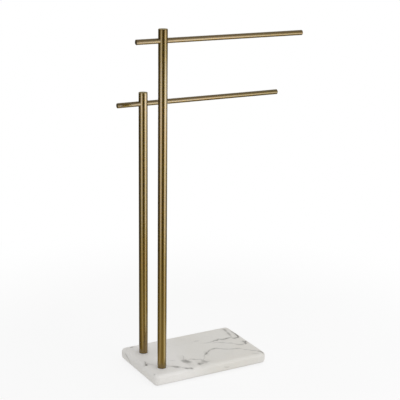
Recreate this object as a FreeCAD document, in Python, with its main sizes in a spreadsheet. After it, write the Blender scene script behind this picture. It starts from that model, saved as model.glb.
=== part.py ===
import FreeCAD, Part
import Sketcher
import math
import os

# Freestanding towel stand: a stone slab carries two upright tubes near its left
# short side, and a thin rail crosses each tube a little below its top.
# Millimetres. The origin is the middle of the slab's footprint, on the floor.
# +X runs along the long arms of the rails, +Y from the tall front post to the
# short rear post, +Z up.

SIZES = {
    # Stone base
    "slab_length": 364.0,
    "slab_width": 230.0,
    "slab_thickness": 32.0,
    "slab_corner_radius": 14.0,
    "slab_edge_radius": 10.0,
    # Non-slip mat under the stone, set back from its rounded lower edge
    "mat_thickness": 2.0,
    "mat_setback": 12.0,
    "mat_corner_radius": 8.0,
    # Posts: heights run from the stone's top face to the top of the cap
    "tall_post_height": 953.0,
    "short_post_height": 767.0,
    "post_diameter": 25.4,
    "post_wall": 1.5,
    "post_side_inset": 46.0,
    "tall_post_front_inset": 51.0,
    "short_post_back_inset": 61.0,
    # Thin ring between each post and the stone
    "gasket_thickness": 0.8,
    "gasket_setback": 0.2,
    # Caps that close the posts
    "post_cap_head": 3.0,
    "post_cap_spigot": 8.0,
    "post_cap_chamfer": 0.9,
    # Rails: reaches run from the post's axis to the outer face of the end cap
    "rail_diameter": 14.3,
    "rail_wall": 1.2,
    "rail_long_reach": 434.0,
    "rail_short_reach": 78.0,
    "rail_cap_head": 2.0,
    "rail_cap_spigot": 8.0,
    "rail_cap_chamfer": 0.7,
    # Clamp block inside each post, round its rail
    "block_space_above": 3.0,
    "block_over_rail": 9.85,
    "block_under_rail": 6.0,
    "grub_diameter": 6.0,
    "grub_length": 8.0,
    "grub_hex_key": 3.0,
    "grub_hex_depth": 3.0,
    "grub_tip_chamfer": 1.0,
    # Tapped plug fixed in the foot of each post
    "foot_plug_height": 22.0,
    "foot_plug_chamfer": 1.0,
    # Bolt that draws each post down on the stone, with its washers
    "bolt_diameter": 8.0,
    "bolt_engagement": 16.2,
    "bolt_head_diameter": 13.0,
    "bolt_head_height": 8.0,
    "bolt_head_chamfer": 0.6,
    "bolt_tip_chamfer": 1.0,
    "bolt_hex_key": 6.0,
    "bolt_hex_depth": 4.0,
    "bolt_hole_clearance": 1.0,
    "flat_washer_diameter": 24.0,
    "flat_washer_thickness": 2.0,
    "spring_washer_diameter": 13.5,
    "spring_washer_thickness": 2.0,
    "spring_washer_opening": 14.0,
    "washer_bore_clearance": 0.2,
    "counterbore_clearance": 1.0,
    "bolt_head_recess": 1.0,
    # Radial gaps of the fits
    "plug_fit": 0.05,
    "block_fit": 0.1,
    "rail_fit": 0.15,
    "thread_fit": 0.05,
}

doc = FreeCAD.newDocument("towel_stand")
sheet = doc.addObject("Spreadsheet::Sheet", "Sizes")
pieces = []


def fill_sheet():
    """One row per driving dimension: its name, and its value under that alias."""
    for row, (alias, value) in enumerate(SIZES.items(), start=1):
        sheet.set(f"A{row}", alias)
        sheet.set(f"B{row}", str(value))
        sheet.setAlias(f"B{row}", alias)
    doc.recompute()


def size(alias):
    return f"Sizes.{alias}"


def total(*terms):
    return "(" + " + ".join(terms) + ")"


def less(first, *rest):
    return "(" + " - ".join((first,) + rest) + ")"


def times(factor, term):
    return f"({factor} * {term})"


def value_of(expression):
    return float(sheet.evalExpression(expression))


# Sizes that follow from the driving ones -------------------------------------

POST_RADIUS = times(0.5, size("post_diameter"))
POST_BORE_RADIUS = less(POST_RADIUS, size("post_wall"))
RAIL_RADIUS = times(0.5, size("rail_diameter"))
RAIL_BORE_RADIUS = less(RAIL_RADIUS, size("rail_wall"))
RAIL_HOLE_RADIUS = total(RAIL_RADIUS, size("rail_fit"))
BOLT_RADIUS = times(0.5, size("bolt_diameter"))
BOLT_TAPPED_RADIUS = total(BOLT_RADIUS, size("thread_fit"))
BOLT_HOLE_RADIUS = total(BOLT_RADIUS, size("bolt_hole_clearance"))
BOLT_HEAD_RADIUS = times(0.5, size("bolt_head_diameter"))
WASHER_BORE_RADIUS = total(BOLT_RADIUS, size("washer_bore_clearance"))
FLAT_WASHER_RADIUS = times(0.5, size("flat_washer_diameter"))
SPRING_WASHER_RADIUS = times(0.5, size("spring_washer_diameter"))
GRUB_RADIUS = times(0.5, size("grub_diameter"))

# Under each post the stone is counterbored for the washers and the bolt's head.
COUNTERBORE_RADIUS = total(FLAT_WASHER_RADIUS, size("counterbore_clearance"))
COUNTERBORE_DEPTH = total(
    size("flat_washer_thickness"),
    size("spring_washer_thickness"),
    size("bolt_head_height"),
    size("bolt_head_recess"),
)
STONE_UNDER_POST = less(size("slab_thickness"), COUNTERBORE_DEPTH)
BOLT_SHANK_LENGTH = total(
    size("flat_washer_thickness"),
    size("spring_washer_thickness"),
    STONE_UNDER_POST,
    size("gasket_thickness"),
    size("bolt_engagement"),
)

# Levels above the floor.
SLAB_TOP = total(size("mat_thickness"), size("slab_thickness"))
TUBE_FOOT = total(SLAB_TOP, size("gasket_thickness"))
COUNTERBORE_TOP = total(size("mat_thickness"), COUNTERBORE_DEPTH)
FLAT_WASHER_LEVEL = less(COUNTERBORE_TOP, size("flat_washer_thickness"))
SPRING_WASHER_LEVEL = less(FLAT_WASHER_LEVEL, size("spring_washer_thickness"))

# The rail's axis lies below the post's top by the cap, a space and the part of
# the clamp block that holds the grub screw.
RAIL_DROP = total(
    size("post_cap_head"),
    size("post_cap_spigot"),
    size("block_space_above"),
    size("block_over_rail"),
    RAIL_RADIUS,
)
BLOCK_UNDER_AXIS = total(RAIL_HOLE_RADIUS, size("block_under_rail"))
BLOCK_HEIGHT = total(BLOCK_UNDER_AXIS, RAIL_RADIUS, size("block_over_rail"))

# Where the posts stand, and which rail each one carries.
POST_X = total(times(-0.5, size("slab_length")), size("post_side_inset"))
TALL_POST_Y = total(times(-0.5, size("slab_width")), size("tall_post_front_inset"))
SHORT_POST_Y = less(times(0.5, size("slab_width")), size("short_post_back_inset"))
POSTS = {
    "tall": {"y": TALL_POST_Y, "height": size("tall_post_height"), "rail": "upper"},
    "short": {"y": SHORT_POST_Y, "height": size("short_post_height"), "rail": "lower"},
}


# Sketching -------------------------------------------------------------------


def new_body(label):
    body = doc.addObject("PartDesign::Body", label)
    body.Label = label
    return body


def new_sketch(body, name, role):
    """A sketch on one of the body's own origin planes."""
    planes = {feature.Role: feature for feature in body.Origin.OriginFeatures}
    sketch = body.newObject("Sketcher::SketchObject", f"{body.Label}_{name}")
    sketch.AttachmentSupport = [(planes[role], "")]
    sketch.MapMode = "FlatFace"
    return sketch


def bind_distance(sketch, kind, start, end, expression):
    """A horizontal or vertical distance between two points that follows the sheet."""
    constraint = Sketcher.Constraint(kind, *start, *end, value_of(expression))
    index = sketch.addConstraint(constraint)
    sketch.setExpression(f"Constraints[{index}]", expression)


# A sketch's own level axis is geometry -1 and its upright axis geometry -2. Its
# origin is the level axis's first point.
ORIGIN_POINT = (-1, 1)


def hold_on_level_axis(sketch, point):
    sketch.addConstraint(Sketcher.Constraint("PointOnObject", *point, -1))


def hold_on_upright_axis(sketch, point):
    sketch.addConstraint(Sketcher.Constraint("PointOnObject", *point, -2))


def add_profile(sketch, corners):
    """A closed outline of straight lines. Each corner is a pair of expressions,
    none of them negative, and "0" puts the corner on that axis."""
    points = [
        FreeCAD.Vector(value_of(across), value_of(up), 0) for across, up in corners
    ]
    lines = []
    for start, end in zip(points, points[1:] + points[:1]):
        lines.append(sketch.addGeometry(Part.LineSegment(start, end), False))
    for line, following in zip(lines, lines[1:] + lines[:1]):
        sketch.addConstraint(Sketcher.Constraint("Coincident", line, 2, following, 1))
    for line, (across, up) in zip(lines, corners):
        corner = (line, 1)
        if across == "0":
            hold_on_upright_axis(sketch, corner)
        else:
            bind_distance(sketch, "DistanceX", ORIGIN_POINT, corner, across)
        if up == "0":
            hold_on_level_axis(sketch, corner)
        else:
            bind_distance(sketch, "DistanceY", ORIGIN_POINT, corner, up)


def add_circle(sketch, radius, up="0"):
    """A circle on the sketch's vertical axis, at the height that is asked for."""
    centre = FreeCAD.Vector(0, value_of(up), 0)
    normal = FreeCAD.Vector(0, 0, 1)
    ring = sketch.addGeometry(Part.Circle(centre, normal, value_of(radius)), False)
    if up == "0":
        sketch.addConstraint(Sketcher.Constraint("Coincident", ring, 3, *ORIGIN_POINT))
    else:
        hold_on_upright_axis(sketch, (ring, 3))
        bind_distance(sketch, "DistanceY", ORIGIN_POINT, (ring, 3), up)
    index = sketch.addConstraint(Sketcher.Constraint("Radius", ring, value_of(radius)))
    sketch.setExpression(f"Constraints[{index}]", radius)


def add_centred_rectangle(sketch, length, width):
    """A rectangle about the sketch's origin, held by its two sides."""
    half_length = 0.5 * value_of(length)
    half_width = 0.5 * value_of(width)
    corners = [
        FreeCAD.Vector(-half_length, -half_width, 0),
        FreeCAD.Vector(half_length, -half_width, 0),
        FreeCAD.Vector(half_length, half_width, 0),
        FreeCAD.Vector(-half_length, half_width, 0),
    ]
    sides = []
    for start, end in zip(corners, corners[1:] + corners[:1]):
        sides.append(sketch.addGeometry(Part.LineSegment(start, end), False))
    front, right, back, left = sides
    for side, following in zip(sides, sides[1:] + sides[:1]):
        sketch.addConstraint(Sketcher.Constraint("Coincident", side, 2, following, 1))
    for side in (front, back):
        sketch.addConstraint(Sketcher.Constraint("Horizontal", side))
    for side in (right, left):
        sketch.addConstraint(Sketcher.Constraint("Vertical", side))
    sketch.addConstraint(Sketcher.Constraint("Symmetric", front, 1, right, 2, *ORIGIN_POINT))
    bind_distance(sketch, "DistanceX", (front, 1), (front, 2), length)
    bind_distance(sketch, "DistanceY", (right, 1), (right, 2), width)


def add_hexagon(sketch, across_flats):
    """A regular hexagon about the sketch's origin, with two flats level."""
    corner_radius = f"({across_flats} / sqrt(3))"
    radius = value_of(corner_radius)
    centre = FreeCAD.Vector(0, 0, 0)
    ring = sketch.addGeometry(Part.Circle(centre, FreeCAD.Vector(0, 0, 1), radius), True)
    sketch.addConstraint(Sketcher.Constraint("Coincident", ring, 3, *ORIGIN_POINT))
    index = sketch.addConstraint(Sketcher.Constraint("Radius", ring, radius))
    sketch.setExpression(f"Constraints[{index}]", corner_radius)
    corners = [
        FreeCAD.Vector(radius * math.cos(turn), radius * math.sin(turn), 0)
        for turn in (math.radians(60 * step) for step in range(6))
    ]
    flats = []
    for start, end in zip(corners, corners[1:] + corners[:1]):
        flats.append(sketch.addGeometry(Part.LineSegment(start, end), False))
    for flat, following in zip(flats, flats[1:] + flats[:1]):
        sketch.addConstraint(Sketcher.Constraint("Coincident", flat, 2, following, 1))
        sketch.addConstraint(Sketcher.Constraint("PointOnObject", flat, 1, ring))
    for flat in flats[1:]:
        sketch.addConstraint(Sketcher.Constraint("Equal", flats[0], flat))
    sketch.addConstraint(Sketcher.Constraint("Horizontal", flats[1]))


# Features --------------------------------------------------------------------


def add_pad(body, sketch, length):
    pad = body.newObject("PartDesign::Pad", f"{body.Label}_pad")
    pad.Profile = sketch
    pad.Length = value_of(length)
    pad.setExpression("Length", length)
    sketch.Visibility = False
    doc.recompute()
    return pad


def add_pocket(body, sketch, depth=None, reverse=False, both_ways=False):
    """Cuts the sketch out of the body, to a depth or right through, and makes
    sure that the cut took something away."""
    before = body.Shape.Volume
    pocket = body.newObject("PartDesign::Pocket", f"{sketch.Name}_cut")
    pocket.Profile = sketch
    pocket.Reversed = reverse
    if depth is None:
        pocket.Type = "ThroughAll"
        pocket.Midplane = both_ways
    else:
        pocket.Type = "Length"
        pocket.Length = value_of(depth)
        pocket.setExpression("Length", depth)
    doc.recompute()
    if not body.Shape.Volume < before:
        raise RuntimeError(f"{pocket.Name} cuts nothing")


def add_fillet(body, base, edges, radius):
    fillet = body.newObject("PartDesign::Fillet", f"{body.Label}_fillet")
    fillet.Base = (base, edges)
    fillet.Radius = value_of(radius)
    fillet.setExpression("Radius", radius)
    doc.recompute()
    return fillet


def edges_where(feature, test):
    """Names of the feature's edges whose ends, as a pair of points, pass the test."""
    names = []
    for number, edge in enumerate(feature.Shape.Edges, start=1):
        if test(edge.Vertexes[0].Point, edge.Vertexes[-1].Point):
            names.append(f"Edge{number}")
    return names


def is_upright(start, end):
    return abs(start.z - end.z) > 1e-6


def is_level(start, end):
    return abs(start.z - end.z) <= 1e-6


def turned_body(label, corners, sweep=None):
    """Half a lengthwise section, as (radius, height) corners, turned about Z."""
    body = new_body(label)
    sketch = new_sketch(body, "section", "XZ_Plane")
    add_profile(sketch, corners)
    turn = body.newObject("PartDesign::Revolution", f"{label}_turn")
    turn.Profile = sketch
    turn.ReferenceAxis = (sketch, ["V_Axis"])
    turn.Angle = 360
    if sweep:
        turn.setExpression("Angle", sweep)
    sketch.Visibility = False
    doc.recompute()
    return body


def ring_section(inner, outer, height):
    return [(inner, "0"), (outer, "0"), (outer, height), (inner, height)]


def place(piece, x=None, y=None, z=None, turn=None):
    """Puts a piece where the expressions say, turned about its own origin first."""
    if turn:
        piece.Placement = FreeCAD.Placement(FreeCAD.Vector(), turn)
    for axis, expression in (("x", x), ("y", y), ("z", z)):
        if expression:
            piece.setExpression(f".Placement.Base.{axis}", expression)


def keep(piece):
    pieces.append(piece)


def keep_pair(label, members):
    """Identical fasteners: one node with a solid for each post."""
    pair = doc.addObject("Part::Compound", label)
    pair.Label = label
    pair.Links = members
    keep(pair)


# Stone base and mat ----------------------------------------------------------


def make_slab():
    """Stone slab with rounded corners and eased edges. Under each post it has a
    bolt hole that is counterbored from below."""
    body = new_body("base_slab")
    outline = new_sketch(body, "outline", "XY_Plane")
    add_centred_rectangle(outline, size("slab_length"), size("slab_width"))
    block = add_pad(body, outline, size("slab_thickness"))
    upright = edges_where(block, is_upright)
    cornered = add_fillet(body, block, upright, size("slab_corner_radius"))
    level = edges_where(cornered, is_level)
    add_fillet(body, cornered, level, size("slab_edge_radius"))
    for name, radius, depth in (
        ("bolt_hole", BOLT_HOLE_RADIUS, None),
        ("counterbore", COUNTERBORE_RADIUS, COUNTERBORE_DEPTH),
    ):
        cut_under_posts(body, name, radius, depth)
    place(body, z=size("mat_thickness"))
    keep(body)


def cut_under_posts(body, name, radius, depth):
    """One round cut on each post's axis, upwards from the body's underside."""
    for post, spec in POSTS.items():
        sketch = new_sketch(body, f"{post}_{name}", "XY_Plane")
        add_circle(sketch, radius)
        sketch.setExpression(".AttachmentOffset.Base.x", POST_X)
        sketch.setExpression(".AttachmentOffset.Base.y", spec["y"])
        sketch.Visibility = False
        add_pocket(body, sketch, depth, reverse=True)


def make_mat():
    """Non-slip sheet under the stone, with a round opening below each bolt."""
    body = new_body("base_mat")
    outline = new_sketch(body, "outline", "XY_Plane")
    both_setbacks = times(2, size("mat_setback"))
    length = less(size("slab_length"), both_setbacks)
    width = less(size("slab_width"), both_setbacks)
    add_centred_rectangle(outline, length, width)
    sheet_pad = add_pad(body, outline, size("mat_thickness"))
    upright = edges_where(sheet_pad, is_upright)
    add_fillet(body, sheet_pad, upright, size("mat_corner_radius"))
    cut_under_posts(body, "bolt_opening", COUNTERBORE_RADIUS, None)
    keep(body)


# Posts -----------------------------------------------------------------------


def make_post_tube(post, spec):
    """Upright tube, with a hole across it along X for the rail."""
    body = new_body(f"{post}_post_tube")
    section = new_sketch(body, "section", "XY_Plane")
    add_circle(section, POST_RADIUS)
    add_circle(section, POST_BORE_RADIUS)
    above_stone = less(spec["height"], size("gasket_thickness"))
    add_pad(body, section, less(above_stone, size("post_cap_head")))
    cross = new_sketch(body, "rail_hole", "YZ_Plane")
    add_circle(cross, RAIL_HOLE_RADIUS, up=less(above_stone, RAIL_DROP))
    cross.Visibility = False
    add_pocket(body, cross, both_ways=True)
    place(body, POST_X, spec["y"], TUBE_FOOT)
    keep(body)


def cap_section(head, rim, spigot, spigot_radius, chamfer):
    """Half section of a push-in cap: spigot below, chamfered head above. The
    head's lower rim has a fine bevel that draws a line round the joint."""
    joint_bevel = times(0.3, chamfer)
    top = total(spigot, head)
    return [
        ("0", "0"),
        (less(spigot_radius, chamfer), "0"),
        (spigot_radius, chamfer),
        (spigot_radius, spigot),
        (less(rim, joint_bevel), spigot),
        (rim, total(spigot, joint_bevel)),
        (rim, less(top, chamfer)),
        (less(rim, chamfer), top),
        ("0", top),
    ]


def make_post_cap(post, spec):
    """Cap pushed into the post's top; the grub screw is reached under it."""
    section = cap_section(
        size("post_cap_head"),
        POST_RADIUS,
        size("post_cap_spigot"),
        less(POST_BORE_RADIUS, size("plug_fit")),
        size("post_cap_chamfer"),
    )
    body = turned_body(f"{post}_post_cap", section)
    length = total(size("post_cap_head"), size("post_cap_spigot"))
    place(body, POST_X, spec["y"], less(total(SLAB_TOP, spec["height"]), length))
    keep(body)


def make_foot_plug(post, spec):
    """Tapped plug fixed in the tube's foot, flush with its end."""
    outer = less(POST_BORE_RADIUS, size("plug_fit"))
    top = size("foot_plug_height")
    chamfer = size("foot_plug_chamfer")
    section = [
        (BOLT_TAPPED_RADIUS, "0"),
        (outer, "0"),
        (outer, less(top, chamfer)),
        (less(outer, chamfer), top),
        (BOLT_TAPPED_RADIUS, top),
    ]
    body = turned_body(f"{post}_post_foot_plug", section)
    place(body, POST_X, spec["y"], TUBE_FOOT)
    keep(body)


def make_gasket(post, spec):
    """Thin dark ring that keeps the metal off the stone."""
    outer = less(POST_RADIUS, size("gasket_setback"))
    section = ring_section(BOLT_HOLE_RADIUS, outer, size("gasket_thickness"))
    body = turned_body(f"{post}_post_gasket", section)
    place(body, POST_X, spec["y"], SLAB_TOP)
    keep(body)


# Rails -----------------------------------------------------------------------


def rail_level(spec):
    return less(total(SLAB_TOP, spec["height"]), RAIL_DROP)


def make_rail_tube(spec):
    """Straight tube through the post, along X, with a short end and a long arm."""
    body = new_body(f"{spec['rail']}_rail_tube")
    section = new_sketch(body, "section", "YZ_Plane")
    add_circle(section, RAIL_RADIUS)
    add_circle(section, RAIL_BORE_RADIUS)
    reaches = total(size("rail_short_reach"), size("rail_long_reach"))
    both_heads = times(2, size("rail_cap_head"))
    add_pad(body, section, less(reaches, both_heads))
    tube_start = less(size("rail_cap_head"), size("rail_short_reach"))
    place(body, total(POST_X, tube_start), spec["y"], rail_level(spec))
    keep(body)


def make_rail_cap(spec, side, direction, reach):
    """Cap pushed into one end of a rail, its head facing outwards."""
    section = cap_section(
        size("rail_cap_head"),
        RAIL_RADIUS,
        size("rail_cap_spigot"),
        less(RAIL_BORE_RADIUS, size("plug_fit")),
        size("rail_cap_chamfer"),
    )
    body = turned_body(f"{spec['rail']}_rail_{side}_cap", section)
    spigot_end = less(reach, size("rail_cap_head"), size("rail_cap_spigot"))
    outwards = FreeCAD.Rotation(FreeCAD.Vector(0, 1, 0), 90 * direction)
    x = total(POST_X, times(direction, spigot_end))
    place(body, x, spec["y"], rail_level(spec), turn=outwards)
    keep(body)


def make_clamp_block(post, spec):
    """Round block inside the post. The rail passes through it, and a tapped
    hole from above takes the grub screw."""
    body = new_body(f"{post}_post_clamp_block")
    section = new_sketch(body, "section", "XY_Plane")
    add_circle(section, less(POST_BORE_RADIUS, size("block_fit")))
    add_pad(body, section, BLOCK_HEIGHT)
    cross = new_sketch(body, "rail_bore", "YZ_Plane")
    add_circle(cross, RAIL_HOLE_RADIUS, up=BLOCK_UNDER_AXIS)
    cross.Visibility = False
    add_pocket(body, cross, both_ways=True)
    tapped = new_sketch(body, "grub_hole", "XY_Plane")
    add_circle(tapped, total(GRUB_RADIUS, size("thread_fit")))
    tapped.setExpression(".AttachmentOffset.Base.z", BLOCK_HEIGHT)
    tapped.Visibility = False
    depth = total(size("block_over_rail"), RAIL_RADIUS)
    add_pocket(body, tapped, depth)
    place(body, POST_X, spec["y"], less(rail_level(spec), BLOCK_UNDER_AXIS))
    keep(body)


# Fasteners -------------------------------------------------------------------


def make_grub_screw(post, spec):
    """Headless screw that bears on the rail, with a hexagon socket on top."""
    length = size("grub_length")
    tip = size("grub_tip_chamfer")
    section = [
        ("0", "0"),
        (less(GRUB_RADIUS, tip), "0"),
        (GRUB_RADIUS, tip),
        (GRUB_RADIUS, length),
        ("0", length),
    ]
    body = turned_body(f"{post}_grub_screw", section)
    cut_hex_socket(body, length, size("grub_hex_key"), size("grub_hex_depth"))
    place(body, POST_X, spec["y"], total(rail_level(spec), RAIL_RADIUS))
    return body


def cut_hex_socket(body, level, key, depth, reverse=False):
    """Hexagon socket, downwards from a level of the body or upwards from it."""
    sketch = new_sketch(body, "socket", "XY_Plane")
    add_hexagon(sketch, key)
    if level:
        sketch.setExpression(".AttachmentOffset.Base.z", level)
    sketch.Visibility = False
    add_pocket(body, sketch, depth, reverse)


def make_bolt(post, spec):
    """Socket-head bolt, head down, up through the stone into the foot plug."""
    head = size("bolt_head_height")
    rim = size("bolt_head_chamfer")
    tip = size("bolt_tip_chamfer")
    top = total(head, BOLT_SHANK_LENGTH)
    section = [
        ("0", "0"),
        (less(BOLT_HEAD_RADIUS, rim), "0"),
        (BOLT_HEAD_RADIUS, rim),
        (BOLT_HEAD_RADIUS, head),
        (BOLT_RADIUS, head),
        (BOLT_RADIUS, less(top, tip)),
        (less(BOLT_RADIUS, tip), top),
        ("0", top),
    ]
    body = turned_body(f"{post}_post_bolt", section)
    cut_hex_socket(body, None, size("bolt_hex_key"), size("bolt_hex_depth"), reverse=True)
    place(body, POST_X, spec["y"], less(SPRING_WASHER_LEVEL, head))
    return body


def make_flat_washer(post, spec):
    section = ring_section(
        WASHER_BORE_RADIUS, FLAT_WASHER_RADIUS, size("flat_washer_thickness")
    )
    body = turned_body(f"{post}_flat_washer", section)
    place(body, POST_X, spec["y"], FLAT_WASHER_LEVEL)
    return body


def make_spring_washer(post, spec):
    """Split ring: its section is turned short of a full circle."""
    section = ring_section(
        WASHER_BORE_RADIUS, SPRING_WASHER_RADIUS, size("spring_washer_thickness")
    )
    sweep = less("360", size("spring_washer_opening"))
    body = turned_body(f"{post}_spring_washer", section, sweep)
    place(body, POST_X, spec["y"], SPRING_WASHER_LEVEL)
    return body


# Assembly --------------------------------------------------------------------


def build_stand():
    make_slab()
    make_mat()
    for post, spec in POSTS.items():
        make_post_tube(post, spec)
        make_post_cap(post, spec)
        make_foot_plug(post, spec)
        make_gasket(post, spec)
        make_clamp_block(post, spec)
        make_rail_tube(spec)
        make_rail_cap(spec, "left", -1, size("rail_short_reach"))
        make_rail_cap(spec, "right", 1, size("rail_long_reach"))
    for label, make_one in (
        ("base_bolts", make_bolt),
        ("base_flat_washers", make_flat_washer),
        ("base_spring_washers", make_spring_washer),
        ("rail_grub_screws", make_grub_screw),
    ):
        keep_pair(label, [make_one(post, spec) for post, spec in POSTS.items()])


def check_document():
    """Every object has recomputed, and every piece is a valid solid."""
    for item in doc.Objects:
        if {"Invalid", "Error"} & set(item.State):
            raise RuntimeError(f"{item.Label}: {item.State}")
    for piece in pieces:
        shape = piece.Shape
        if shape.isNull() or not shape.isValid() or not shape.Solids:
            raise RuntimeError(f"{piece.Label} is not a valid solid")


def write_pieces():
    os.makedirs("parts", exist_ok=True)
    for piece in pieces:
        piece.Shape.exportStep(f"parts/{piece.Label}.step")
        print(f"{piece.Label}: {len(piece.Shape.Solids)} solid, {piece.Shape.Volume:.0f} mm3")


fill_sheet()
build_stand()
doc.recompute()
check_document()
write_pieces()
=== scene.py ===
import math

import bpy
from mathutils import Matrix, Vector

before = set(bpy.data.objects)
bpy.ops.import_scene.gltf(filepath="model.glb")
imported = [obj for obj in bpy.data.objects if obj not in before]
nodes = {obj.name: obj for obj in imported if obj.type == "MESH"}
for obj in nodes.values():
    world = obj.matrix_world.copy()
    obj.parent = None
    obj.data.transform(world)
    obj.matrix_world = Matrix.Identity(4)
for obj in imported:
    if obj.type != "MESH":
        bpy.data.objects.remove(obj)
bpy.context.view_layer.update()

MM = 0.001
NOISE_MIDDLE = (0.3, 0.7)  # most values of a noise lie between these


# Node helpers ----------------------------------------------------------------


class Graph:
    """A node tree with short calls. An input is a number, a tuple or a socket,
    and each call gives back the socket that holds its result."""

    def __init__(self, tree):
        self.tree = tree
        tree.nodes.clear()

    def put(self, socket, value):
        if isinstance(value, bpy.types.NodeSocket):
            self.tree.links.new(value, socket)
        elif value is not None:
            socket.default_value = value

    def node(self, kind, *values, **settings):
        made = self.tree.nodes.new(kind)
        for name, setting in settings.items():
            setattr(made, name, setting)
        for socket, value in zip(made.inputs, values):
            self.put(socket, value)
        return made

    def math(self, operation, *values, clamp=False):
        made = self.node("ShaderNodeMath", *values, operation=operation, use_clamp=clamp)
        return made.outputs[0]

    def vector(self, operation, *values):
        made = self.node("ShaderNodeVectorMath", *values, operation=operation)
        return made.outputs["Value" if operation in ("DOT_PRODUCT", "LENGTH") else "Vector"]

    def scaled(self, point, factor):
        made = self.node("ShaderNodeVectorMath", point, operation="SCALE")
        self.put(made.inputs["Scale"], factor)
        return made.outputs["Vector"]

    def parts(self, vector):
        """The x, y and z of a vector."""
        return self.node("ShaderNodeSeparateXYZ", vector).outputs

    def place(self):
        """The row frame's coordinates: every node's object sits at its origin."""
        return self.node("ShaderNodeTexCoord").outputs["Object"]

    def noise(self, point, scale, detail, roughness, distortion=0.0, colour=False):
        made = self.node("ShaderNodeTexNoise")
        for name, value in (
            ("Vector", point),
            ("Scale", scale),
            ("Detail", detail),
            ("Roughness", roughness),
            ("Distortion", distortion),
        ):
            self.put(made.inputs[name], value)
        return made.outputs["Color" if colour else "Fac"]

    def centred_noise(self, point, **settings):
        """Three noises at once, as a vector about zero."""
        return self.vector("SUBTRACT", self.noise(point, colour=True, **settings), (0.5, 0.5, 0.5))

    def span(self, value, low, high, to_low=0.0, to_high=1.0, smooth=True):
        """Maps low..high to to_low..to_high and holds it at both ends."""
        kind = "SMOOTHSTEP" if smooth else "LINEAR"
        made = self.node("ShaderNodeMapRange", interpolation_type=kind)
        for socket, entry in zip(made.inputs, (value, low, high, to_low, to_high)):
            self.put(socket, entry)
        return made.outputs[0]

    def blend(self, share, first, second, mode="MIX"):
        made = self.node("ShaderNodeMix", data_type="RGBA", blend_type=mode)
        self.put(made.inputs[0], share)
        self.put(made.inputs[6], first)
        self.put(made.inputs[7], second)
        return made.outputs[2]

    def ramp(self, value, stops):
        made = self.node("ShaderNodeValToRGB", value)
        made.color_ramp.interpolation = "EASE"
        elements = made.color_ramp.elements
        for element, (position, level) in ((elements[0], stops[0]), (elements[1], stops[-1])):
            element.position = position
            element.color = (level, level, level, 1.0)
        for position, level in stops[1:-1]:
            elements.new(position).color = (level, level, level, 1.0)
        return made.outputs["Color"]

    def curve(self, value, points):
        """A smooth line through (step, level) points, both from 0 to 1."""
        made = self.node("ShaderNodeFloatCurve")
        self.put(made.inputs["Value"], value)
        line = made.mapping.curves[0]
        while len(line.points) < len(points):
            line.points.new(0.5, 0.5)
        for point, place in zip(line.points, points):
            point.location = place
        made.mapping.update()
        return made.outputs[0]

    def bump(self, height, distance, strength, under=None):
        made = self.node("ShaderNodeBump")
        self.put(made.inputs["Strength"], strength)
        self.put(made.inputs["Distance"], distance)
        self.put(made.inputs["Height"], height)
        self.put(made.inputs["Normal"], under)
        return made.outputs["Normal"]

    def principled(self, **inputs):
        made = self.node("ShaderNodeBsdfPrincipled")
        for name, value in inputs.items():
            self.put(made.inputs[name.replace("_", " ")], value)
        return made.outputs[0]

    def finish(self, surface):
        self.node("ShaderNodeOutputMaterial", surface)


def new_material(name):
    made = bpy.data.materials.new(name)
    made.use_nodes = True
    return made, Graph(made.node_tree)


def rgb(red, green, blue):
    return (red, green, blue, 1.0)


# White stone -----------------------------------------------------------------

STONE_TOP = 34 * MM
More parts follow.
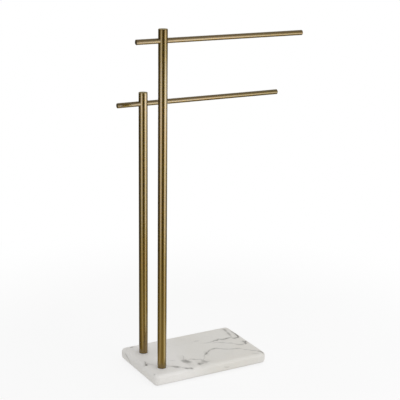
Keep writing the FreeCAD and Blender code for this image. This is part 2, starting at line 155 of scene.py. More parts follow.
# Each vein follows one coordinate of the top face while the other strays: its
# half width, then (followed, straying, depth of grey) at each of its points, in
# millimetres.
VEINS_ALONG_X = [
    # Across the back of the face, and its hook by the far edge
    (3.0, [(35, 34, 0.0), (50, 31, 0.15), (67, 28, 0.3), (82, 29, 0.5), (93, 33, 0.65),
           (99, 32, 0.8), (106, 36, 0.75), (113, 31, 0.7), (123, 29, 0.8), (132, 30, 0.75),
           (140, 31, 0.6), (149, 34, 0.4)]),
    (3.0, [(147, 31, 0.3), (150, 22, 0.85), (159, 21, 0.8), (168, 23, 0.95), (171, 24, 0.3)]),
    # The faint line in front of it
    (3.0, [(73, 15, 0.0), (84, 18, 0.3), (95, 14, 0.4), (109, 5, 0.4), (114, -2, 0.35),
           (127, -8, 0.45), (134, -21, 0.5), (146, -29, 0.55), (156, -30, 0.4), (161, -28, 0.0)]),
    # From the near right corner along the middle to the dark spot
    (2.8, [(16, -44, 0.4), (22, -39, 0.8), (29, -34, 0.7), (38, -26, 0.6), (44, -22, 0.5),
           (53, -20, 0.6), (64, -19, 0.65), (73, -25, 0.5), (84, -35, 0.45), (97, -42, 0.4),
           (114, -48, 0.5), (128, -52, 0.45), (135, -65, 0.4), (144, -70, 0.35),
           (152, -81, 0.5), (161, -86, 0.45), (165, -93, 0.6), (172, -99, 0.85)]),
    (4.5, [(15, -44, 0.0), (21, -40, 0.9), (27, -35, 0.75), (34, -30, 0.0)]),
    (4.5, [(137, -102, 0.0), (145, -104, 0.22), (156, -107, 0.22), (164, -108, 0.0)]),
    # The near lobe of the cloudy patch
    (8.0, [(-42, -94, 0.0), (-36, -95, 0.35), (-31, -94, 0.75), (-24, -94, 0.55),
           (-17, -93, 0.4), (-10, -95, 0.3), (-4, -97, 0.0)]),
    # The cloud to the left of it, and the line between them
    (14.0, [(-71, -57, 0.0), (-66, -58, 0.4), (-61, -60, 0.7), (-57, -61, 0.75),
            (-52, -63, 0.7), (-46, -66, 0.35), (-39, -69, 0.0)]),
    (3.2, [(-48, -57, 0.1), (-38, -53, 0.35), (-33, -56, 0.5), (-28, -59, 0.6), (-24, -63, 0.4),
           (-17, -66, 0.35), (-12, -69, 0.4), (-9, -75, 0.3)]),
    # From beside the tall post to the front edge
    (3.6, [(-121, -64, 0.0), (-117, -67, 0.35), (-111, -72, 0.45), (-106, -77, 0.75),
           (-101, -81, 0.95), (-95, -84, 0.9), (-90, -87, 0.5), (-84, -98, 0.55),
           (-78, -104, 0.85), (-72, -107, 0.65), (-66, -109, 0.85), (-61, -110, 0.3),
           (-56, -110, 0.0)]),
    (3.0, [(-98, -32, 0.0), (-95, -35, 0.2), (-92, -38, 0.25), (-85, -41, 0.2), (-78, -43, 0.0)]),
    # By the left edge
    (2.8, [(-168, -27, 0.4), (-164, -26, 0.7), (-160, -27, 0.6), (-156, -33, 0.45),
           (-152, -39, 0.3), (-145, -47, 0.15), (-142, -50, 0.0)]),
    # Specks by the left and the far edge
    (3.0, [(-181, -98, 0.0), (-178, -98, 0.34), (-175, -97, 0.34), (-171, -96, 0.0)]),
    (2.6, [(-158, 101, 0.0), (-152, 101, 0.8), (-147, 101, 0.5), (-141, 101, 0.0)]),
]
VEINS_ALONG_Y = [
    # Down the far edge
    (2.8, [(22, 167, 0.8), (36, 172, 0.95), (48, 173, 0.9), (64, 172, 0.7), (80, 171, 0.0)]),
    (4.5, [(31, 149, 0.2), (42, 152, 0.3), (57, 155, 0.55), (77, 158, 0.4), (92, 160, 0.6),
           (102, 157, 0.0)]),
    # The fork by the far edge
    (3.5, [(-34, 160, 0.0), (-30, 162, 0.8), (-19, 166, 0.95), (-13, 174, 0.8), (-8, 180, 0.0)]),
    (3.5, [(-20, 165, 0.6), (-15, 165, 0.8), (-10, 164, 0.7), (-5, 163, 0.0)]),
    # Over the near right corner
    (2.8, [(-116, 171, 0.2), (-107, 172, 0.6), (-98, 171, 0.85)]),
    # From the dark spot down to the cloudy patch, and the patch's far lobe
    (2.6, [(-76, -9, 0.4), (-70, -2, 0.25), (-61, 5, 0.2), (-48, 12, 0.35), (-44, 16, 0.3)]),
    (8.0, [(-96, -1, 0.0), (-92, -4, 0.5), (-87, -11, 0.62), (-77, -12, 0.35), (-71, -13, 0.0)]),
    # Up from the cloud
    (2.6, [(-51, -59, 0.4), (-43, -55, 0.35), (-31, -49, 0.3), (-22, -47, 0.22), (-14, -50, 0.0)]),
    # By the left edge
    (3.6, [(-38, -171, 0.0), (-33, -169, 0.95), (-23, -167, 0.6), (-10, -163, 0.3),
           (-3, -162, 0.0)]),
]
# On the upright faces: followed, then height
VEIN_ON_LEFT = (2.4, [(44, 9, 0.0), (48, 12, 0.45), (54, 17, 0.4), (62, 21, 0.4),
                      (70, 24, 0.45), (79, 26, 0.3), (88, 28, 0.0)])
VEIN_ON_FRONT = (1.8, [(37, 19, 0.0), (41, 18, 0.3), (53, 15, 0.3), (58, 15, 0.0)])
# Where the veins of these faces are whole and where they end, in the coordinate
# across the face
LEFT_FACE = (-176 * MM, -168 * MM)
FRONT_FACE = (-109 * MM, -101 * MM)
VEIN_MARGIN = 10  # mm that a vein's curve leaves free on both sides of its path
# A vein's width at no grey and what full grey adds, as shares of its half width
VEIN_LEAST_WIDTH = 0.5
VEIN_ADDED_WIDTH = 0.7
# Where its line, and the faint cloud round it, begin to fade and end, in widths
VEIN_LINE = (0.3, 1.5)
VEIN_CLOUD = (0.5, 4.5)
VEIN_CLOUD_SHARE = 0.22
VEIN_LEAN = (-0.3, -0.3)  # how far a vein moves along x and y per unit of depth
VEIN_WANDER = 4 * MM
# A vein of the top face pales to a share of its grey between two depths.
VEIN_DEPTHS = (1.5 * MM, 9 * MM)
VEIN_SHARE_BELOW = 0.22
VEIN_BROKEN = (0.7, 1.1)  # its grey is uneven along its length
# Hairlines fade in between two places along x and along y: there are few by the
# posts and none on the front.
HAIRLINES_ALONG_X = (-130 * MM, -85 * MM)
HAIRLINES_ALONG_Y = (-95 * MM, -50 * MM)
HAIRLINE_BY_POSTS = 0.15
HAIRLINE_GREY = 0.3
HAIRLINE_WIDTH = 0.012  # as a step of the noise whose middle level it follows
HAIRLINE_WANDER = 60 * MM
CLOUD_GREY = 0.07
SPECK_GREY = 0.22
STONE_PALE = rgb(0.765, 0.750, 0.712)
STONE_WARM = rgb(0.755, 0.732, 0.683)
STONE_PAINTED_LIGHT = rgb(0.845, 0.827, 0.798)  # painted light: paler stone by the posts, against the shade that they cast on it
STONE_VEIN = rgb(0.235, 0.225, 0.205)
STONE_PAINTED_LIGHT_ENDS = (-110 * MM, 10 * MM)  # along x: the painted light is whole before these, gone past them
STONE_CRYSTAL = (0.965, 1.02)  # share of the tone, crystal by crystal
STONE_ROUGHNESS = (0.54, 0.62)
VEIN_ROUGHER = 0.08
STONE_GRAIN = 0.02 * MM
STONE_WAVES = 0.05 * MM
VEIN_HOLLOW = 0.05 * MM


def vein_shade(g, followed, straying, half_width, points):
    """Grey of one vein: a line that is wider where it is darker, inside a wide
    faint cloud."""
    first, last = points[0][0], points[-1][0]
    low = min(across for _, across, _ in points) - VEIN_MARGIN
    high = max(across for _, across, _ in points) + VEIN_MARGIN
    reach = (high - low) * MM
    steps = [(along - first) / (last - first) for along, _, _ in points]
    path = [(across - low) / (high - low) for _, across, _ in points]
    share = g.span(followed, first * MM, last * MM, smooth=False)
    centre = g.curve(share, list(zip(steps, path)))
    grey = g.curve(share, list(zip(steps, [depth for _, _, depth in points])))
    past_start = g.math("GREATER_THAN", share, 0.0)
    before_end = g.math("LESS_THAN", share, 1.0)
    grey = g.math("MULTIPLY", grey, g.math("MULTIPLY", past_start, before_end))
    placed = g.math("MULTIPLY_ADD", straying, 1 / reach, -low * MM / reach)
    off = g.math("ABSOLUTE", g.math("SUBTRACT", placed, centre))
    width = g.math("MULTIPLY_ADD", grey, VEIN_ADDED_WIDTH, VEIN_LEAST_WIDTH)
    in_widths = g.math("DIVIDE", g.math("MULTIPLY", off, reach / (half_width * MM)), width)
    line = g.span(in_widths, *VEIN_LINE, 1.0, 0.0)
    cloud = g.span(in_widths, *VEIN_CLOUD, VEIN_CLOUD_SHARE, 0.0)
    return g.math("MULTIPLY", g.math("MAXIMUM", line, cloud), grey)


def top_face_veins(g, x, y):
    """The strongest grey of all the veins at this point of the top face."""
    greys = []
    for followed, straying, veins in ((x, y, VEINS_ALONG_X), (y, x, VEINS_ALONG_Y)):
        greys += [vein_shade(g, followed, straying, *vein) for vein in veins]
    deepest = greys[0]
    for grey in greys[1:]:
        deepest = g.math("MAXIMUM", deepest, grey)
    return deepest


def placed_veins(g, place, broad):
    """Grey of the veins that have their own paths. They wander a little, and
    lean and pale as they go down into the stone."""
    x, y, z = g.parts(place)
    below = g.math("SUBTRACT", STONE_TOP, z)
    fine = g.centred_noise(place, scale=150, detail=3, roughness=0.6)
    wander = g.vector("ADD", g.scaled(broad, VEIN_WANDER), g.scaled(fine, VEIN_WANDER))
    wander_x, wander_y, wander_z = g.parts(wander)
    vein_x = g.math("ADD", g.math("MULTIPLY_ADD", below, VEIN_LEAN[0], x), wander_x)
    vein_y = g.math("ADD", g.math("MULTIPLY_ADD", below, VEIN_LEAN[1], y), wander_y)
    grey = top_face_veins(g, vein_x, vein_y)
    grey = g.math("MULTIPLY", grey, g.span(below, *VEIN_DEPTHS, 1.0, VEIN_SHARE_BELOW))
    broken = g.noise(place, scale=90, detail=4, roughness=0.65)
    broken = g.span(broken, 0.32, 0.6, *VEIN_BROKEN)
    grey = g.math("MULTIPLY", grey, broken)
    wavy_z = g.math("ADD", z, wander_z)
    for followed, across, face, vein in (
        (y, x, LEFT_FACE, VEIN_ON_LEFT),
        (x, y, FRONT_FACE, VEIN_ON_FRONT),
    ):
        on_face = vein_shade(g, followed, wavy_z, *vein)
        on_face = g.math("MULTIPLY", on_face, g.span(across, *face, 1.0, 0.0))
        grey = g.math("MAXIMUM", grey, on_face)
    return grey


def hairlines(g, place, broad):
    """Grey of the thin lines everywhere else, also on the sides and below."""
    x, y, _ = g.parts(place)
    turned = g.vector("ADD", place, g.scaled(broad, HAIRLINE_WANDER))
    noise = g.noise(turned, scale=9, detail=3, roughness=0.5)
    crease = g.math("ABSOLUTE", g.math("SUBTRACT", noise, 0.5))
    grey = g.span(crease, 0.0, HAIRLINE_WIDTH, 1.0, 0.0)
    patch = g.span(g.noise(place, scale=11, detail=2, roughness=0.5), 0.5, 0.72)
    grey = g.math("MULTIPLY", grey, patch)
    grey = g.math("MULTIPLY", grey, g.span(y, *HAIRLINES_ALONG_Y, 0.0, HAIRLINE_GREY))
    return g.math("MULTIPLY", grey, g.span(x, *HAIRLINES_ALONG_X, HAIRLINE_BY_POSTS, 1.0))


def make_stone():
    """Honed white stone with grey veins, faint clouds and small specks."""
    made, g = new_material("white_stone")
    place = g.place()
    broad = g.centred_noise(place, scale=28, detail=2, roughness=0.5)
    grey = g.math("MAXIMUM", placed_veins(g, place, broad), hairlines(g, place, broad))
    cloud = g.noise(place, scale=16, detail=4, roughness=0.6, distortion=0.6)
    cloud = g.math("MULTIPLY", g.span(cloud, 0.55, 0.8), CLOUD_GREY)
    speck = g.noise(place, scale=240, detail=2, roughness=0.5)
    speck = g.math("MULTIPLY", g.span(speck, 0.7, 0.8), SPECK_GREY)
    grey = g.math("ADD", grey, g.math("ADD", cloud, speck), clamp=True)

    x = g.parts(place)["X"]
    tone = g.noise(place, scale=6, detail=3, roughness=0.55, distortion=0.4)
    body = g.blend(g.span(tone, 0.35, 0.7), STONE_PALE, STONE_WARM)
    # Painted light: the stone is paler by the posts, where their shadows and shade fall.
    body = g.blend(g.span(x, *STONE_PAINTED_LIGHT_ENDS, 1.0, 0.0), body, STONE_PAINTED_LIGHT)
    crystal = g.noise(place, scale=900, detail=2, roughness=0.6)
    body = g.blend(1.0, body, g.span(crystal, *NOISE_MIDDLE, *STONE_CRYSTAL), "MULTIPLY")

    roughness = g.noise(place, scale=60, detail=3, roughness=0.6)
    roughness = g.span(roughness, *NOISE_MIDDLE, *STONE_ROUGHNESS)
    grain = g.bump(g.noise(place, scale=1400, detail=3, roughness=0.6), STONE_GRAIN, 0.5)
    waves = g.noise(place, scale=45, detail=2, roughness=0.5)
    waves = g.bump(waves, STONE_WAVES, 0.6, under=grain)
    hollows = g.bump(g.math("MULTIPLY", grey, -1.0), VEIN_HOLLOW, 0.6, under=waves)
    g.finish(
        g.principled(
            Base_Color=g.blend(grey, body, STONE_VEIN),
            Roughness=g.math("MULTIPLY_ADD", grey, VEIN_ROUGHER, roughness),
            IOR=1.5,
            Specular_IOR_Level=0.3,
            Normal=hollows,
        )
    )
    return made


# Aged brass ------------------------------------------------------------------

BRASS_OLIVE = rgb(0.180, 0.122, 0.021)
BRASS_BROWN = rgb(0.194, 0.116, 0.019)
BRASS_DARK = rgb(0.100, 0.062, 0.013)
BRASS_WORN = rgb(0.38, 0.28, 0.11)
BRASS_STREAK = (0.95, 1.04)  # share of the tone, streak by streak
BRASS_STAIN = 0.35
BRASS_RUBBED = 0.55
BRASS_ROUGHNESS = (0.27, 0.34)
STAIN_ROUGHER = 0.12
HAIR_DEPTH = 0.0015 * MM
STREAK_DEPTH = 0.004 * MM
CHAMFER_FACING = 0.707  # a chamfer's normal along the tube's axis
AXES = {"x": (1, 0, 0), "z": (0, 0, 1)}


def make_brass(name, axis, shade):
    """Brass brushed along an axis, browned and lacquered. Its colour drifts
    slowly along the tube, and the rims of the caps are rubbed a little paler.
    Its shade is the share of the full tone that it keeps: below 1 that is painted shade, which
    darkens this copy of the brass."""
    made, g = new_material(name)
    place = g.place()

    def drawn_out(along):
        """The place, squeezed along the axis, which draws the noise out along it."""
        return g.vector("MULTIPLY", place, tuple(along if on else 1.0 for on in AXES[axis]))

    drift = g.noise(drawn_out(0.3), scale=26, detail=3, roughness=0.55, distortion=0.3)
    colour = g.blend(g.span(drift, *NOISE_MIDDLE), BRASS_OLIVE, BRASS_BROWN)
    streak = g.noise(drawn_out(0.012), scale=620, detail=3, roughness=0.6)
    hair = g.noise(drawn_out(0.006), scale=2600, detail=2, roughness=0.55)
    # Below 1 the shade darkens the whole colour here: painted shade.
    streaked = g.span(streak, *NOISE_MIDDLE, *(level * shade for level in BRASS_STREAK))
    colour = g.blend(1.0, colour, streaked, "MULTIPLY")
    stain = g.noise(drawn_out(0.45), scale=70, detail=4, roughness=0.65, distortion=0.5)
    stain = g.span(stain, 0.6, 0.82, 0.0, BRASS_STAIN)
    colour = g.blend(stain, colour, BRASS_DARK)

    facing = g.node("ShaderNodeNewGeometry").outputs["Normal"]
    towards = g.math("ABSOLUTE", g.vector("DOT_PRODUCT", facing, AXES[axis]))
    off_chamfer = g.math("ABSOLUTE", g.math("SUBTRACT", towards, CHAMFER_FACING))
    rim = g.span(off_chamfer, 0.08, 0.2, BRASS_RUBBED, 0.0)
    worn = g.span(g.noise(place, scale=500, detail=2, roughness=0.5), 0.35, 0.6)
    colour = g.blend(g.math("MULTIPLY", rim, worn), colour, BRASS_WORN)

    roughness = g.span(streak, *NOISE_MIDDLE, *BRASS_ROUGHNESS)
    roughness = g.math("MULTIPLY_ADD", stain, STAIN_ROUGHER, roughness)
    brushed = g.bump(hair, HAIR_DEPTH, 0.5)
    brushed = g.bump(streak, STREAK_DEPTH, 0.5, under=brushed)
    g.finish(
        g.principled(
            Base_Color=colour,
            Metallic=1.0,
            Roughness=roughness,
            Normal=brushed,
            Coat_Weight=1.0,
            Coat_Roughness=0.08,
            Coat_IOR=1.62,
        )
    )
    return made


# Hidden steel and rubber -----------------------------------------------------

STEEL_BLUE = rgb(0.56, 0.57, 0.585)
STEEL_BRIGHT = rgb(0.64, 0.645, 0.64)
STEEL_DULL = rgb(0.36, 0.36, 0.355)
STEEL_DULLED = 0.5
STEEL_ROUGHNESS = (0.27, 0.42)
STEEL_GRAIN = 0.015 * MM
MAT_BLACK = rgb(0.028, 0.028, 0.029)
MAT_GREY = rgb(0.07, 0.07, 0.072)
MAT_DUST = rgb(0.13, 0.125, 0.12)
MAT_DUSTED = 0.5
MAT_ROUGHNESS = (0.72, 0.9)
MAT_CELLS = 900  # per metre
MAT_CELL_DEPTH = 0.2 * MM
GASKET_BLACK = rgb(0.022, 0.021, 0.020)
GASKET_BLOOM = rgb(0.055, 0.052, 0.048)
GASKET_ROUGHNESS = (0.45, 0.62)
GASKET_GRAIN = 0.03 * MM


def make_steel():
    """Zinc-plated steel: bright and slightly blue, with the plating's grain."""
    made, g = new_material("zinc_steel")
    place = g.place()
    tone = g.span(g.noise(place, scale=130, detail=3, roughness=0.6), *NOISE_MIDDLE)
    dull = g.noise(place, scale=420, detail=4, roughness=0.65)
    dull = g.span(dull, 0.55, 0.8, 0.0, STEEL_DULLED)
    colour = g.blend(dull, g.blend(tone, STEEL_BLUE, STEEL_BRIGHT), STEEL_DULL)
    roughness = g.noise(place, scale=300, detail=3, roughness=0.6)
    roughness = g.span(roughness, *NOISE_MIDDLE, *STEEL_ROUGHNESS)
    flattened = g.vector("MULTIPLY", place, (1, 1, 8))
    grain = g.bump(g.noise(flattened, scale=700, detail=2, roughness=0.5), STEEL_GRAIN, 0.6)
    surface = g.principled(Base_Color=colour, Metallic=1.0, Roughness=roughness, Normal=grain)
    g.finish(surface)
    return made


def make_mat_rubber():
    """Foam rubber: black, with small closed cells and a little dust."""
    made, g = new_material("mat_rubber")
    place = g.place()
    cells = g.node("ShaderNodeTexVoronoi")
    g.put(cells.inputs["Vector"], place)
    g.put(cells.inputs["Scale"], MAT_CELLS)
    cell = cells.outputs["Distance"]
    dust = g.noise(place, scale=35, detail=4, roughness=0.65)
    dust = g.span(dust, 0.45, 0.75, 0.0, MAT_DUSTED)
    colour = g.blend(g.span(cell, 0.1, 0.7), MAT_BLACK, MAT_GREY)
    colour = g.blend(dust, colour, MAT_DUST)
    roughness = g.span(dust, 0.0, MAT_DUSTED, *MAT_ROUGHNESS)
    normal = g.bump(cell, MAT_CELL_DEPTH, 0.7)
    g.finish(g.principled(Base_Color=colour, Roughness=roughness, Normal=normal))
    return made


def make_gasket_rubber():
    """Smooth black rubber with a faint bloom."""
    made, g = new_material("gasket_rubber")
    place = g.place()
    bloom = g.span(g.noise(place, scale=220, detail=3, roughness=0.6), 0.4, 0.75)
    colour = g.blend(bloom, GASKET_BLACK, GASKET_BLOOM)
    roughness = g.span(bloom, 0.0, 1.0, *GASKET_ROUGHNESS)
    normal = g.bump(g.noise(place, scale=1500, detail=2, roughness=0.5), GASKET_GRAIN, 0.5)
    g.finish(g.principled(Base_Color=colour, Roughness=roughness, Normal=normal))
    return made


def dress(material, *names):
    for name in names:
        nodes[name].data.materials.clear()
        nodes[name].data.materials.append(material)


dress(make_stone(), "base_slab")
dress(make_mat_rubber(), "base_mat")
dress(make_gasket_rubber(), "tall_post_gasket", "short_post_gasket")
upright_brass = make_brass("aged_brass_upright", "z", shade=1.0)
# Painted shade: the level tubes are the same brass, painted a tenth darker.
level_brass_painted_shade = make_brass("aged_brass_level_painted_shade", "x", shade=0.9)
for post, rail in (("tall", "upper"), ("short", "lower")):
    dress(upright_brass, f"{post}_post_tube", f"{post}_post_cap")
    dress(level_brass_painted_shade, f"{rail}_rail_tube", f"{rail}_rail_left_cap", f"{rail}_rail_right_cap")
dress(
    make_steel(),
    "tall_post_foot_plug",
    "short_post_foot_plug",
    "tall_post_clamp_block",
    "short_post_clamp_block",
    "base_bolts",
    "base_flat_washers",
    "base_spring_washers",
    "rail_grub_screws",
)


# Camera ----------------------------------------------------------------------

CAMERA_PLACE = Vector((-1446.881, -2620.186, 1338.468)) * MM
CAMERA_YAW = math.radians(29.18)  # from +Y towards +X
CAMERA_PITCH = math.radians(15.788)  # below the horizon
CAMERA_ROLL = math.radians(0.75)
CAMERA_LENS = 99.134  # mm, as the sensor
SENSOR = 36.0


def add_camera():
    ahead = Vector(
        (
            math.sin(CAMERA_YAW) * math.cos(CAMERA_PITCH),
            math.cos(CAMERA_YAW) * math.cos(CAMERA_PITCH),
            -math.sin(CAMERA_PITCH),
        )
    )
    level = Vector((math.cos(CAMERA_YAW), -math.sin(CAMERA_YAW), 0))
    raised = level.cross(ahead)
    across = level * math.cos(CAMERA_ROLL) + raised * math.sin(CAMERA_ROLL)
    up = raised * math.cos(CAMERA_ROLL) - level * math.sin(CAMERA_ROLL)
    data = bpy.data.cameras.new("camera")
    data.lens = CAMERA_LENS
    data.sensor_width = SENSOR
    data.sensor_fit = "HORIZONTAL"
    camera = bpy.data.objects.new("camera", data)
    turn = Matrix((across, up, -ahead)).transposed().to_4x4()
    camera.matrix_world = Matrix.Translation(CAMERA_PLACE) @ turn
    bpy.context.scene.collection.objects.link(camera)
    bpy.context.scene.camera = camera


# Studio ----------------------------------------------------------------------

WHITE = rgb(1, 1, 1)
WORLD_LEVEL = 0.635
LAMP_TARGET = Vector((0, 0, 0.3))
# Name, turn from the camera to its right and rise in degrees, distance and
# square side in metres, power in watts
LAMPS = [
    ("lamp_right", 58, 13, 2.6, 3.0, 28.0),
    ("lamp_left", -50, 16, 2.6, 2.4, 4.0),
    ("lamp_above", 160, 80, 2.6, 2.4, 12.0),
]
RING_SIDES = 96  # of the floor and the tent
FLOOR_RADIUS = 3.0
FLOOR_TONE = (0.88, 0.9)
# The share of plain white that the eye sees, which is whole past the object's
# surroundings. The rest is real light and shade.
FLOOR_WHITE_SHARE = 0.8
FLOOR_SURROUNDINGS = (0.45, 1.3)
TENT_CENTRE = Vector((-0.136, -0.005, 0))
TENT_FOOT_GAP = 0.01  # from the stone to the tent's inner edge
TENT_FOOT_HEIGHT = 0.001
# Radius and height of its brim and its top
TENT_BRIM = (1.3, 0.02)
TENT_TOP = (2.2, 2.2)
# What the metal sees round it, by degrees from the camera to its right: two
# tall soft lights with darkness between them, and a faint one behind.
TENT_LEVELS = [
    (-180, 1.50), (-168, 1.30), (-155, 0.50), (-143, 0.14), (-122, 0.11), (-104, 0.11),
    (-88, 0.125), (-70, 0.19), (-58, 0.58), (-47, 1.90), (-36, 3.20), (-25, 2.00),
    (-13, 0.60), (0, 0.12), (10, 0.05), (24, 0.10), (38, 0.45), (46, 1.20), (54, 3.60),
    (62, 4.60), (70, 3.25), (80, 2.25), (90, 2.15), (106, 0.60), (124, 0.15), (143, 0.10),
    (155, 0.50), (168, 1.30), (180, 1.50),
]
# Lower down the light off the floor and the stone takes over, between these
# heights.
TENT_NEAR = (0.08, 0.36)
TENT_NEAR_LEVELS = [
    (-180, 0.60), (-160, 0.45), (-143, 0.14), (-118, 0.20), (-100, 0.29), (-80, 0.33),
    (-70, 0.47), (-60, 0.60), (-49, 0.80), (-41, 1.22), (-33, 1.35), (-25, 1.15),
    (-16, 0.90), (-4, 0.78), (8, 0.52), (16, 0.56), (34, 0.80), (45, 1.10), (55, 1.50),
    (65, 2.25), (73, 1.85), (82, 1.00), (98, 0.42), (120, 0.20), (143, 0.12), (160, 0.45),
    (180, 0.60),
]
TENT_PEAK = max(light for _, light in TENT_LEVELS)
# A sight line that a post mirrors goes on falling, by this much per metre. So
# what stands at a height and a distance shows on the post at that height plus
# TENT_FALL times the distance, and the light's share goes by that sum.
TENT_FALL = 0.283
TENT_FADE = [
    (0.0, 0.33), (0.13, 0.39), (0.19, 0.44), (0.30, 0.55), (0.42, 0.78), (0.59, 0.86),
    (0.76, 1.0), (0.92, 1.24), (1.04, 1.16), (1.16, 0.66), (1.35, 0.46), (1.72, 0.43),
    (2.10, 0.42), (2.60, 0.34),
]
TENT_FLANK = (66, 84)  # between these degrees the share's power grows from 1 to 2
TENT_DIM = 0.35  # no light fades below this level
# The faint light is warm, as off the metal's own surroundings, and the strong
# light slightly cool.
TENT_WARM = rgb(1.0, 0.88, 0.54)
TENT_COOL = rgb(0.99, 1.03, 1.19)
TENT_FAINT_TO_STRONG = (0.3, 1.8)
TENT_OFF_FLOOR = rgb(1.0, 0.95, 0.72)  # low down, and less so up to a height
TENT_OFF_FLOOR_HEIGHTS = (0.1, 0.55)
TENT_ROOF = 0.55


def seen_directly(g):
    """1 for what the camera, or metal and glass, look at; 0 for what lights."""
    path = g.node("ShaderNodeLightPath").outputs
    mirrored = g.math("MAXIMUM", path["Is Glossy Ray"], path["Is Transmission Ray"])
    return g.math("MAXIMUM", path["Is Camera Ray"], mirrored)


def add_world():
    world = bpy.data.worlds.new("studio")
    world.use_nodes = True
    world.cycles.sampling_method = "NONE"
    bpy.context.scene.world = world
    g = Graph(world.node_tree)
    light = g.node("ShaderNodeBackground", WHITE, WORLD_LEVEL).outputs[0]
    backdrop = g.node("ShaderNodeBackground", WHITE, 1.0).outputs[0]
    mixed = g.node("ShaderNodeMixShader", seen_directly(g), light, backdrop).outputs[0]
    g.node("ShaderNodeOutputWorld", mixed)


def from_camera(turn, rise):
    """A level turn from the camera's side of the object to its right, raised."""
    angle = math.radians(turn) - CAMERA_YAW
    rise = math.radians(rise)
    return Vector(
        (math.sin(angle) * math.cos(rise), -math.cos(angle) * math.cos(rise), math.sin(rise))
    )


def add_lamp(name, turn, rise, distance, side, power):
    data = bpy.data.lights.new(name, "AREA")
    data.size = side
    data.energy = power
    lamp = bpy.data.objects.new(name, data)
    direction = from_camera(turn, rise)
    lamp.location = LAMP_TARGET + direction * distance
    lamp.rotation_mode = "QUATERNION"
    lamp.rotation_quaternion = (-direction).to_track_quat("-Z", "Y")
    lamp.visible_glossy = False
    bpy.context.scene.collection.objects.link(lamp)


def add_staged(name, corners, faces, material):
    mesh = bpy.data.meshes.new(name)
    mesh.from_pydata(corners, [], faces)
    mesh.materials.append(material)
    made = bpy.data.objects.new(name, mesh)
    bpy.context.scene.collection.objects.link(made)
    return made


def ring(centre, height, radius_towards):
    """Corners of a closed line round a centre, at a height."""
    corners = []
    for step in range(RING_SIDES):
        turn = 2 * math.pi * step / RING_SIDES
        towards = Vector((math.sin(turn), math.cos(turn), 0))
        corners.append(centre + towards * radius_towards(towards) + Vector((0, 0, height)))
    return corners


def tent_foot_radius(towards):
    """From the tent's centre to its inner edge, which lies round the stone."""
    reaches = []
    for axis in (0, 1):
        if abs(towards[axis]) > 1e-6:
            half = max(corner[axis] for corner in nodes["base_slab"].bound_box)
            wall = math.copysign(half + TENT_FOOT_GAP, towards[axis])
            reaches.append((wall - TENT_CENTRE[axis]) / towards[axis])
    return min(reaches)


def add_floor():
    """Pale floor: nearly white to the eye, with the object's shadow on it."""
    material, g = new_material("pale_floor")
    reach = g.vector("LENGTH", g.place())
    share = g.span(reach, *FLOOR_SURROUNDINGS, FLOOR_WHITE_SHARE, 1.0)
    share = g.math("MULTIPLY", share, seen_directly(g))
    tone = g.noise(g.place(), scale=3, detail=2, roughness=0.5)
    tone = g.span(tone, *NOISE_MIDDLE, *FLOOR_TONE)
    lit = g.node("ShaderNodeBsdfDiffuse", tone).outputs[0]
    white = g.node("ShaderNodeEmission", WHITE, 1.0).outputs[0]
    g.finish(g.node("ShaderNodeMixShader", share, lit, white).outputs[0])
    corners = ring(Vector(), 0.0, lambda towards: FLOOR_RADIUS)
    add_staged("floor", corners, [tuple(range(RING_SIDES))[::-1]], material)


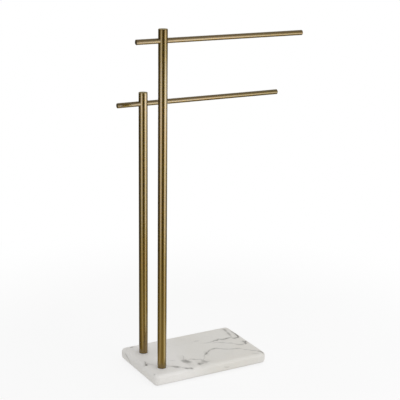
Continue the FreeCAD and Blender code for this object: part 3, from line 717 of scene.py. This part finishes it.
def tent_light(g):
    """The tent's colour and strength at the point that a ray meets."""
    place = g.node("ShaderNodeNewGeometry").outputs["Position"]
    x, y, z = g.parts(g.vector("SUBTRACT", place, TENT_CENTRE))
    turn = g.math("ARCTAN2", x, g.math("MULTIPLY", y, -1.0))
    turn = g.math("ADD", turn, CAMERA_YAW)
    lap = g.math("FRACT", g.math("MULTIPLY_ADD", turn, 1 / (2 * math.pi), 0.5))

    def by_turn(levels):
        stops = [((degrees + 180) / 360, light / TENT_PEAK) for degrees, light in levels]
        return g.math("MULTIPLY", g.ramp(lap, stops), TENT_PEAK)

    top = TENT_FADE[-1][0]
    reach = g.vector("LENGTH", g.node("ShaderNodeCombineXYZ", x, y, 0.0).outputs[0])
    up = g.math("DIVIDE", g.math("MULTIPLY_ADD", reach, TENT_FALL, z), top)

    def by_height(heights, *levels):
        return g.span(up, *(height / top for height in heights), *levels)

    kept = g.ramp(up, [(height / top, share) for height, share in TENT_FADE])
    off_front = g.math("ABSOLUTE", g.math("SUBTRACT", lap, 0.5))
    flank = g.span(off_front, *(degrees / 360 for degrees in TENT_FLANK))
    kept = g.math("POWER", kept, g.math("ADD", flank, 1.0))
    level = by_turn(TENT_LEVELS)
    faded = g.math("MULTIPLY", level, kept)
    faded = g.math("MAXIMUM", faded, g.math("MINIMUM", level, TENT_DIM))
    faded = g.blend(by_height(TENT_NEAR), by_turn(TENT_NEAR_LEVELS), faded)
    tint = g.blend(g.span(faded, *TENT_FAINT_TO_STRONG), TENT_WARM, TENT_COOL)
    off_floor = by_height(TENT_OFF_FLOOR_HEIGHTS, 1.0, 0.0)
    return g.blend(off_floor, tint, TENT_OFF_FLOOR, "MULTIPLY"), faded


def add_tent():
    """A ring of soft light and shade that only the metal's reflections see."""
    wall_material, g = new_material("reflection_tent")
    g.finish(g.node("ShaderNodeEmission", *tent_light(g)).outputs[0])
    roof_material, g = new_material("tent_roof")
    g.finish(g.node("ShaderNodeEmission", WHITE, TENT_ROOF).outputs[0])
    rings = [ring(TENT_CENTRE, TENT_FOOT_HEIGHT, tent_foot_radius)]
    for radius, height in (TENT_BRIM, TENT_TOP):
        rings.append(ring(TENT_CENTRE, height, lambda towards: radius))
    walls = []  # from each ring to the next
    for first in (0, RING_SIDES):
        for step in range(RING_SIDES):
            here, there = first + step, first + (step + 1) % RING_SIDES
            walls.append((here, there, there + RING_SIDES, here + RING_SIDES))
    roof = tuple(range(RING_SIDES))
    for card in (
        add_staged("reflection_tent", sum(rings, []), walls, wall_material),
        add_staged("tent_roof", rings[-1], [roof], roof_material),
    ):
        card.active_material.cycles.emission_sampling = "NONE"
        card.visible_camera = False
        card.visible_diffuse = False
        card.visible_transmission = False
        card.visible_volume_scatter = False
        card.visible_shadow = False


add_camera()
add_world()
for lamp in LAMPS:
    add_lamp(*lamp)
add_floor()
add_tent()
bpy.context.scene.view_settings.view_transform = "Standard"
